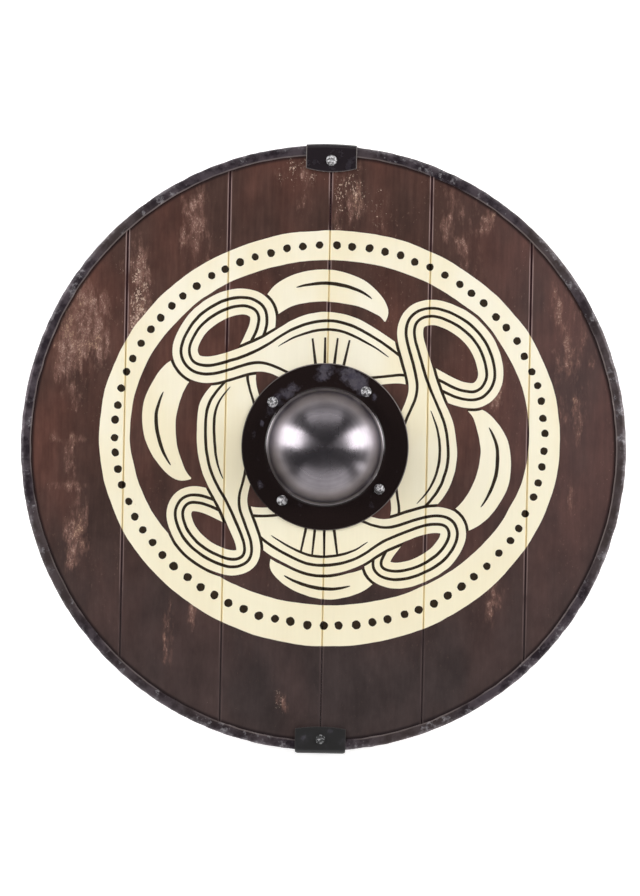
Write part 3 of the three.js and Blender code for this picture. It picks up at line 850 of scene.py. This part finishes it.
def board_back(number, flat, rim):
    """The board's back as triangles, and which of its points lies behind each point of the rim."""
    used = sorted({i for edge in rim for i in edge})
    at = {i: k for k, i in enumerate(used)}
    points = [tuple(flat[i]) for i in used]
    edges = [(at[a], at[b]) for a, b in rim]
    add_outline(points, edges, circle(BOARD_RADIUS - BOARD_EDGE, 180))
    low, high = flat.min(0), flat.max(0)
    for x in np.arange(low[0] + 8, high[0] - 4, BACK_SPACING):
        for y in np.arange(low[1] + 8, high[1] - 4, BACK_SPACING):
            if hypot(x, y) < BOARD_RADIUS - 6:
                points.append((x, y))
    for seam in SEAMS[max(number - 1, 0):number + 1]:
        for offset in JOINT_LINES:
            add_upright(points, edges, seam + (offset if seam < flat[:, 0].mean() else -offset))
    back, faces, origins = triangulate(points, edges)
    middle = back[faces].mean(axis=1)
    own = on_a_board(middle) & (np.searchsorted(SEAMS, middle[:, 0]) == number)
    kept, faces = np.unique(faces[own], return_inverse=True)
    twin = {used[k]: index for index, old in enumerate(kept) for k in origins[old] if k < len(used)}
    return back[kept], faces.reshape(-1, 3), twin


def wear_at(x, y):
    hazy = speckled = 0.0
    for *patch, haze, specks in WORN_PLACES:
        share = max(0.0, 1.15 - 0.45 * off_centre(x, y, *patch))
        hazy = max(hazy, haze * share)
        speckled = max(speckled, specks * share)
    return hazy, speckled


def board_marks(flat, back):
    """Wear, specks, arris, the seams' painted shade and joint, for the points of the face and then of the
    back.
    """
    rows = []
    for x, y in flat:
        seam = to_seam(x)
        # the fourth mark is 1 in the seams' V, for its painted shade
        rows.append((*wear_at(x, y), SEAM_CHAMFER - 0.05 < seam < 1.95, seam < 1.0, 0.0))
    rows += [(0.0, 0.0, 0.0, 0.0, to_seam(x) < JOINT_LINES[0] + 0.01) for x, _ in back]
    return dict(zip(("wear", "specks", "arris", "groove_shade", "joint"), np.array(rows, dtype=float).T))


def make_boards():
    where, faces, paint, board = painted_face()
    paints = [brown_paint(), cream_paint(), line_paint()]
    for number in range(len(SEAMS) + 1):
        warm = 1.0 + 0.07 * sin(2.4 * number)
        dark, light = rgb(104 * warm, 76 * warm, 56), rgb(142 * warm, 108 * warm, 80)
        behind = wood(f"board_wood_{number + 1}", dark, light, "Y", 3.7 * number)
        own, local = np.unique(faces[board == number], return_inverse=True)
        local, flat = local.reshape(-1, 3), where[own]
        sides = list(map(tuple, np.concatenate([local[:, [0, 1]], local[:, [1, 2]], local[:, [2, 0]]])))
        known = set(sides)
        rim = [edge for edge in sides if edge[::-1] not in known]
        back, back_faces, twin = board_back(number, flat, rim)
        count = len(flat)
        points = [(x, y, face_height(x, y)) for x, y in flat]
        points += [(x, y, BOARD_BACK + edge_drop(x, y)) for x, y in back]
        all_faces = [*local, *(count + back_faces[:, ::-1])]
        all_faces += [(a, count + twin[a], count + twin[b], b) for a, b in rim]
        choice = list(paint[board == number]) + [3] * (len(all_faces) - len(local))
        node = f"board_{number + 1}"
        make_piece(node + "_painted", points, [tuple(map(int, f)) for f in all_faces],
                   [node], paints + [behind], board_marks(flat, back), choice, 20)


# Rim


def rim_profile():
    """The section's outer and inner paths, as radius and height."""
    low, high, corner, steel, lip = RIM_BOTTOM, RIM_TOP, RIM_CORNER, RIM_STEEL, RIM_LIP_RADIUS
    middle = RIM_RADIUS - corner
    outer = [(lip + step, high) for step in (0.35, 1.0, 1.5, 3.0, 4.6)]
    outer += arc(middle, high - corner, corner, 90, 0, 7) + [(RIM_RADIUS, RIM_MIDDLE)]
    outer += arc(middle, low + corner, corner, 0, -90, 7)
    outer += [(lip + step, low) for step in (4.6, 2.5, 0.35)]
    inner = [(lip, low + 0.35), (lip, low + steel - 0.2), (lip + 0.2, low + steel)]
    inner += arc(middle, low + corner, corner - steel, -90, 0, 3)
    inner += arc(middle, high - corner, corner - steel, 0, 90, 3)
    inner += [(lip + 0.2, high - steel), (lip, high - steel + 0.2), (lip, high - 0.35)]
    return outer, inner


def rim_point(radius, height, turn, dented):
    """A point of the section at one turn, with the lip's wave and the hammer's dents."""
    c, s = cos(turn), sin(turn)
    r, z = radius, height
    if radius < RIM_LIP_RADIUS + 3:
        wave = uneven(c * 22, s * 22, 4.0 if height > RIM_MIDDLE else 9.0)
        r -= 0.6 * wave * (1 - (radius - RIM_LIP_RADIUS) / 3)
    if dented:
        spot = Vector((c * radius / 11, s * radius / 11, height / 9))
        dent = min(max(0.2 + 0.65 * noise.noise(spot) + 0.2 * noise.noise(spot * 2.7), 0.0), 0.8)
        corner_height = min(max(height, RIM_BOTTOM + RIM_CORNER), RIM_TOP - RIM_CORNER)
        away = Vector((max(radius - (RIM_RADIUS - RIM_CORNER), 0.0), height - corner_height)).normalized()
        r -= dent * away.x
        z -= dent * away.y
    return r * c, r * s, z


def make_rim():
    material = rim_steel()
    outer, inner = rim_profile()
    profile = outer + inner
    worn = [min(max((r - (RIM_RADIUS - RIM_CORNER - 0.5)) / 2.2, 0.0), 1.0) for r, _ in outer]
    worn += [0.0] * len(inner)
    # marks the front of the lip's inner edge, for a painted highlight
    lip = [float(r < RIM_LIP_RADIUS + 1.2 and z > RIM_TOP - 0.5) for r, z in profile]
    steps = 400
    shift, gap = np.degrees(CLAMP_X / RIM_RADIUS), np.degrees(RIM_JOINT_MARGIN / RIM_RADIUS)
    for node, start, end in (("rim_left", 90 - shift + gap, 270 + shift - gap),
                             ("rim_right", -90 + shift + gap, 90 - shift - gap)):
        turns = np.radians(np.linspace(start, end, steps + 1))
        points = [rim_point(*profile[k], turn, k < len(outer))
                  for turn in turns for k in range(len(profile))]
        faces = [f[::-1] for f in grid_faces(steps + 1, len(profile), False, True)]
        faces += end_cap(0, len(outer), len(inner), False)
        faces += end_cap(steps * len(profile), len(outer), len(inner), True)
        marks = {"worn": worn * (steps + 1), "lip": lip * (steps + 1)}
        make_piece(node + "_hammered", points, faces, [node], [material], marks, None, 38)


# Clamps


def fold_profile(inner_edge, outer_edge):
    """Outer and inner paths of the folded strip at one place across it, as distance and height."""
    low, high, corner, steel, soft = CLAMP_BOTTOM, CLAMP_TOP, CLAMP_CORNER, CLAMP_STEEL, CLAMP_SOFTNESS
    middle = outer_edge - corner
    flat = [inner_edge + (middle - inner_edge) * k / 6 for k in range(1, 6)]
    arris = [(inner_edge + soft, 0.0), (inner_edge + soft * 0.3, soft * 0.3), (inner_edge, soft)]
    outer = [(d, high - drop) for d, drop in arris[::-1]]
    outer += [(inner_edge + 1.0, high)] + [(d, high) for d in flat]
    outer += arc(middle, high - corner, corner, 90, 0, 8) + arc(middle, low + corner, corner, 0, -90, 8)
    outer += [(d, low) for d in flat[::-1]] + [(d, low + drop) for d, drop in arris]
    inner = [(inner_edge, low + steel)] + arc(middle, low + corner, corner - steel, -90, 0, 8)
    inner += arc(middle, high - corner, corner - steel, 0, 90, 8) + [(inner_edge, high - steel)]
    return outer, inner


def clamp_point(x, distance, height, sunk, corner_start):
    """A point of the outer path, rounded off at the clamp's sides and slightly uneven on the flats."""
    if sunk and distance < corner_start:
        height += sunk if height < CLAMP_MIDDLE else -sunk
    elif sunk:
        distance -= sunk
    if distance < corner_start:
        wave = abs(0.12 * uneven(x / 9, distance / 9, height / 9 + 5))
        height += wave if height < CLAMP_MIDDLE else -wave
    return distance, height


def make_clamp(node, side, materials, outer_at, shape, scuffs, edge_highlight):
    """A strip folded over the rim, with side 1 at the top and -1 at the foot."""
    half, soft = CLAMP_WIDTH / 2, CLAMP_SOFTNESS
    edge, depth, bow = shape
    ends = [half, half - soft * 0.3, half - soft]
    across = [-x for x in ends] + list(np.linspace(1 - half, half - 1, 25)) + ends[::-1]
    sinks = [soft, soft * 0.3] + [0.0] * (len(across) - 4) + [soft * 0.3, soft]
    points, marks = [], {"worn": [], "edge": []}
    for x, sunk in zip(across, sinks):
        inner_edge, outer_edge = edge - depth + bow * (x / half) ** 2, outer_at(x)
        outer, inner = fold_profile(inner_edge, outer_edge)
        for k, (distance, height) in enumerate(outer + inner):
            if k < len(outer):
                distance, height = clamp_point(x, distance, height, sunk, outer_edge - CLAMP_CORNER)
            points.append((CLAMP_X + x * side, distance * side, height))
            worn = [1.3 - 0.6 * off_centre(x * side, distance, *scuff) for scuff in scuffs]
            marks["worn"].append(min(max(worn + [0.25]), 1.0))
            # painted highlight along the top face's side and inner edges, strong on the top clamp and
            # faint on the foot clamp
            at_side, at_inside = abs(x) > half - 0.9, distance < inner_edge + 0.9
            shown = height > CLAMP_MIDDLE and k < len(outer)
            marks["edge"].append(edge_highlight * max(0.75 * at_side, 0.45 * at_inside) * shown)
    outer_count, inner_count = len(outer), len(inner)
    columns = outer_count + inner_count
    faces = grid_faces(len(across), columns, False, True)
    choice = []
    for face in faces:
        k = {i % columns for i in face}
        choice.append(int(k <= {0, 1, columns - 1} or k <= {outer_count - 1, outer_count}))
    caps = end_cap(0, outer_count, inner_count, True)
    caps += end_cap((len(across) - 1) * columns, outer_count, inner_count, False)
    make_piece(node + "_folded", points, faces + caps, [node], materials, marks,
               choice + [1] * len(caps), 30)


def make_clamps():
    black = black_paint("clamp_black", rgb(36, 30, 34), 0.26, 0.5)
    bare = bare_steel("cut_edge_steel", rgb(225, 222, 222), 0.25, 0.0002)
    worn_black = black_paint("clamp_worn_black", rgb(43, 42, 42), 0.36, 0.45)
    dull = black_paint("dull_edge", rgb(62, 59, 60), 0.4, 0.6)

    def bent(x):
        return sqrt(TOP_CLAMP[0] ** 2 - (x + CLAMP_X) ** 2)

    def straight(x):
        return FOOT_CLAMP[0] - max(abs(x) - (CLAMP_WIDTH / 2 - FOOT_CLAMP_CORNER), 0.0)

    make_clamp("clamp_top", 1, [black, bare], bent, TOP_CLAMP, [(-9, 291, 2, 1)], 1.0)
    foot_scuffs = [(-17, 291, 2.2, 1.3), (-14, 293, 1.3, 1), (10, 284, 3, 0.8)]
    make_clamp("clamp_foot", -1, [worn_black, dull], straight, FOOT_CLAMP, foot_scuffs, 0.1)


# Boss

FLANGE_SCUFFS_AND_SHEEN = [  # x and y from the boss's middle, half width, half height, strength; grey patches that are partly scuffs and partly painted reflection on the upper side
    (0, 77, 8, 7, 1.0), (-4, 70, 8, 5, 0.8), (22, 73, 10, 7, 0.9), (31, 66, 10, 8, 1.0),
    (36, 58, 6, 6, 0.7), (-50, 45, 8, 6, 0.6), (-41, 53, 8, 6, 0.7), (-31, 61, 7, 5, 0.6),
    (-64, 22, 2.0, 3.0, 1.4), (-57, 33, 7, 8, 0.45), (49, 51, 2.5, 4, 0.9), (-65, -40, 3, 5, 0.6),
    (46, -58, 7, 5, 0.3), (-72, 10, 2, 8, 0.4),
]
FLANGE_FROM = 63.0  # where the flange's flat starts
FLANGE_HIGHLIGHT_SIDE = radians(40)  # where the painted highlight on the flange's edge is brightest


def boss_profile():
    """Radius, height and material from the dome's top over the flange and back up inside."""
    wall, foot, under = FLANGE_TOP + DOME_FILLET, DOME_RADIUS + DOME_FILLET, FLANGE_TOP - BOSS_STEEL
    fillet = arc(foot, wall, DOME_FILLET, 180, 270, 12)
    flat = [(radius, FLANGE_TOP) for radius in (*np.arange(FLANGE_FROM, 82.5, 1.5), 83.1)]
    edge = arc(FLANGE_RADIUS - 0.5, FLANGE_TOP - 0.5, 0.5, 90, 0, 4)
    edge += [(FLANGE_RADIUS, under + 0.15), (FLANGE_RADIUS - 0.15, under), (74.0, under)]
    inner = arc(foot, wall, DOME_FILLET + BOSS_STEEL, 270, 180, 8)
    inner += dome(DOME_RADIUS - BOSS_STEEL, DOME_RISE - BOSS_STEEL, wall, 0, 89.9, 31)[1:]
    steel = dome(DOME_RADIUS, DOME_RISE, wall, 89.9, 0, 61) + fillet[1:7]
    paint = fillet[7:] + flat + edge
    return steel + paint + inner, [0] * len(steel) + [1] * len(paint) + [2] * len(inner)


def flange_scuffs_and_sheen(x, y):
    worn = [strength * (1.3 - 0.6 * off_centre(x, y, *patch)) for *patch, strength in FLANGE_SCUFFS_AND_SHEEN]
    return min(max(worn + [0.0]), 1.0)


def make_boss():
    profile, kinds = boss_profile()
    segments = 224
    marks = {"worn": [], "edge": []}

    def point_at(turn, column):
        radius, height = profile[column]
        x, y = radius * cos(turn), radius * sin(turn)
        # grey patches on the flange: scuffs, and painted reflection on the upper side
        marks["worn"].append(flange_scuffs_and_sheen(x, y) if radius > 60 else 0.0)
        # painted highlight on the flange's edge, brightest towards one side
        side = 0.55 + 0.45 * cos(turn - FLANGE_HIGHLIGHT_SIDE)
        marks["edge"].append(side if radius > FLANGE_RADIUS - 0.6 else 0.0)
        if FLANGE_FROM < radius < 83.5 and height >= FLANGE_TOP - 0.1:
            height -= 0.12 * abs(uneven(x / 14, y / 14, 2.0))
        return BOSS[0] + x, BOSS[1] + y, height

    flange = black_paint("flange_black", rgb(31, 22, 21), 0.14, 0.8)
    behind = bare_steel("boss_inside", rgb(96, 92, 96), 0.35, 0.0002)
    make_turned("boss_spun", point_at, len(profile), segments, "boss",
                [turned_steel(), flange, behind], marks, kinds, 32)


# Rivets

HEAD_STEPS = 12
TAIL_STEPS = 6
RIVET_SEGMENTS = 40
FACET_COUNT = 9


def rivet_profile(front, back, head_radius):
    """Radius and height from the head's top down its side and the shank to the tail's middle."""
    head, tail = RIVET_HEAD_HEIGHT - 0.25, RIVET_TAIL_HEIGHT - 0.2
    profile = [(head_radius * cos(t), front + 0.25 + head * sin(t) ** 0.8)
               for t in np.radians(np.linspace(88, 0, HEAD_STEPS))]
    profile += [(head_radius - 0.15, front), (RIVET_SHANK, front), (RIVET_SHANK, back)]
    profile += [(RIVET_TAIL_RADIUS - 0.15, back)]
    profile += [(RIVET_TAIL_RADIUS * cos(t), back - 0.2 - tail * sin(t) ** 0.8)
                for t in np.radians(np.linspace(0, 88, TAIL_STEPS))]
    return profile


def make_rivet(node, x, y, steel_front, steel_back, head_radius, material):
    """A hammered rivet: a faceted head in front, a flatter one behind, and the shank between them."""
    dice = random.Random(node)
    front, back = steel_front + CLEARANCE, steel_back - CLEARANCE
    profile = rivet_profile(front, back, head_radius)
    facets = []
    for _ in range(FACET_COUNT):
        turn = dice.uniform(0, 2 * pi)
        tilt = dice.uniform(0.1, 1.0)
        level = RIVET_HEAD_HEIGHT * dice.uniform(0.84, 0.97) + tilt * 1.6
        facets.append((tilt * cos(turn), tilt * sin(turn), level))

    def point_at(turn, column):
        c, s = cos(turn), sin(turn)
        r, z = profile[column]
        if column < HEAD_STEPS:
            ragged = uneven(c * 1.5 + x, s * 1.5 + y, 1.0)
            r *= 1 - 0.9 * abs(ragged) * (r / head_radius)
            above = min([z - front] + [level - a * r * c - b * r * s for a, b, level in facets])
            above -= 0.7 * abs(uneven(r * c / 2.1, r * s / 2.1, x))
            z = front + max(above, 0.2)
        elif column > HEAD_STEPS + 3:
            z += 0.15 * abs(uneven(c * r / 2, s * r / 2, x))
        return x + r * c, y + r * s, z

    make_turned(node + "_hammered", point_at, len(profile), RIVET_SEGMENTS, node,
                [material], None, [0] * len(profile), 22)


def make_rivets():
    bright = bare_steel("bright_steel", rgb(250, 248, 250), 0.3, 0.0012, 0.45, 0.45)
    dull = bare_steel("dull_steel", rgb(196, 196, 197), 0.4, 0.0012, 0.5, 0.48)
    for number, degrees in enumerate(RIVET_ANGLES, 1):
        turn = radians(degrees)
        x, y = BOSS[0] + RIVET_CIRCLE * cos(turn), BOSS[1] + RIVET_CIRCLE * sin(turn)
        make_rivet(f"boss_rivet_{number}", x, y, FLANGE_TOP, BOARD_BACK, 5.45, bright)
    make_rivet("clamp_rivet_top", *TOP_RIVET, CLAMP_TOP, CLAMP_BOTTOM, 5.6, bright)
    make_rivet("clamp_rivet_foot", *FOOT_RIVET, CLAMP_TOP, CLAMP_BOTTOM, 5.0, dull)


# The wooden and iron fittings behind, as in the solid model


def finish_back():
    batten = wood("batten_wood", rgb(118, 82, 54), rgb(164, 122, 84), "X")
    grip = wood("grip_wood", rgb(104, 70, 46), rgb(150, 108, 74), "X")
    iron = bare_steel("nail_iron", rgb(92, 88, 88), 0.4, 0.0004)
    finishes = {"batten_top": (batten, "bare_wood"), "batten_foot": (batten, "bare_wood"),
                "grip": (grip, "bare_wood")}
    for name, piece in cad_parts.items():
        if name not in finishes and "nail" not in name:
            continue
        chosen, slot = finishes.get(name, (iron, "nail_iron"))
        piece.data.materials.clear()
        piece.data.materials.append(chosen)
        if name in finishes:
            soft = piece.modifiers.new("soft_edges", "BEVEL")
            soft.width = 0.5 * MM
            soft.segments = 2
            soft.limit_method = "ANGLE"
            soft.angle_limit = radians(30)


# Studio, in metres

FLOOR_HALF = 12.0
CAMERA_DISTANCE = 3.5
PHOTO_HEIGHT = 896  # pixels
PIXEL = 1.0068 * MM  # as long as this on the boards' face
CAMERA_SHIFT = (-3.5, 0.03)  # pixels to the right and up
FACE_LEVEL = 0.028  # the boards' face, from which the camera's distance counts
CAMERA_LEAN = radians(1.12)
LAMP_AIM = Vector((0, 0, 0.03))

LAMPS = [  # name, azimuth, tilt from straight above, distance, width, height, power, seen in reflections
    ("left_softbox", 165, 65, 2.2, 1.1, 2.1, 25, True),
    ("right_softbox", 15, 65, 2.2, 1.1, 2.1, 25, True),
    ("left_fill", 163, 63, 2.2, 1.0, 1.2, 20, False),
    ("right_fill", 18, 63, 2.2, 1.0, 1.2, 20, False),
    ("foot_reflector", -90, 62, 2.4, 3.8, 2.0, 15, True),
    ("head_reflector", 92, 55, 2.4, 2.4, 1.1, 5.5, True),
    ("small_reflector", -28, 76, 2.2, 0.3, 0.14, 1.6, True),
    ("foot_fill", -90, 60, 2.4, 1.0, 1.0, 9, False),
]


def make_floor():
    mesh = bpy.data.meshes.new("floor")
    corners = [(x * FLOOR_HALF, y * FLOOR_HALF, 0) for x, y in ((-1, -1), (1, -1), (1, 1), (-1, 1))]
    mesh.from_pydata(corners, [], [(0, 1, 2, 3)])
    floor = bpy.data.objects.new("floor", mesh)
    bpy.context.scene.collection.objects.link(floor)
    s = Surface("floor")
    mesh.materials.append(s.finish(Base_Color=(0.9, 0.9, 0.9, 1.0), Roughness=0.9, Specular_IOR_Level=0.0,
                                   Emission_Color=(1.0, 1.0, 1.0, 1.0), Emission_Strength=0.65))


def make_lamp(name, azimuth, tilt, distance, width, height, power, seen):
    light = bpy.data.lights.new(name, "AREA")
    light.shape = "RECTANGLE"
    light.size = width
    light.size_y = height
    light.energy = power
    lamp = bpy.data.objects.new(name, light)
    a, t = radians(azimuth), radians(tilt)
    lamp.location = Vector((sin(t) * cos(a), sin(t) * sin(a), cos(t))) * distance
    lamp.rotation_euler = (LAMP_AIM - lamp.location).to_track_quat("-Z", "Y").to_euler()
    lamp.visible_glossy = seen
    bpy.context.scene.collection.objects.link(lamp)


def make_camera():
    data = bpy.data.cameras.new("camera")
    camera = bpy.data.objects.new("camera", data)
    bpy.context.scene.collection.objects.link(camera)
    right = Vector((cos(CAMERA_LEAN), sin(CAMERA_LEAN), 0))
    up = Vector((-sin(CAMERA_LEAN), cos(CAMERA_LEAN), 0))
    data.sensor_width = 36.0
    data.lens = data.sensor_width * CAMERA_DISTANCE / (PHOTO_HEIGHT * PIXEL)
    camera.location = (CAMERA_SHIFT[0] * right + CAMERA_SHIFT[1] * up) * PIXEL
    camera.location.z = FACE_LEVEL + CAMERA_DISTANCE
    camera.rotation_euler = (0, 0, CAMERA_LEAN)
    data.clip_start = 0.1
    data.clip_end = 50
    bpy.context.scene.camera = camera


def make_studio():
    make_floor()
    for lamp in LAMPS:
        make_lamp(*lamp)
    make_camera()
    scene = bpy.context.scene
    scene.world = bpy.data.worlds.new("studio")
    scene.world.use_nodes = True
    background = scene.world.node_tree.nodes["Background"]
    background.inputs["Color"].default_value = (0.98, 0.96, 1.0, 1.0)
    background.inputs["Strength"].default_value = 0.055
    scene.view_settings.view_transform = "Standard"
    scene.view_settings.look = "None"


make_boards()
make_rim()
make_clamps()
make_boss()
make_rivets()
finish_back()
make_studio()
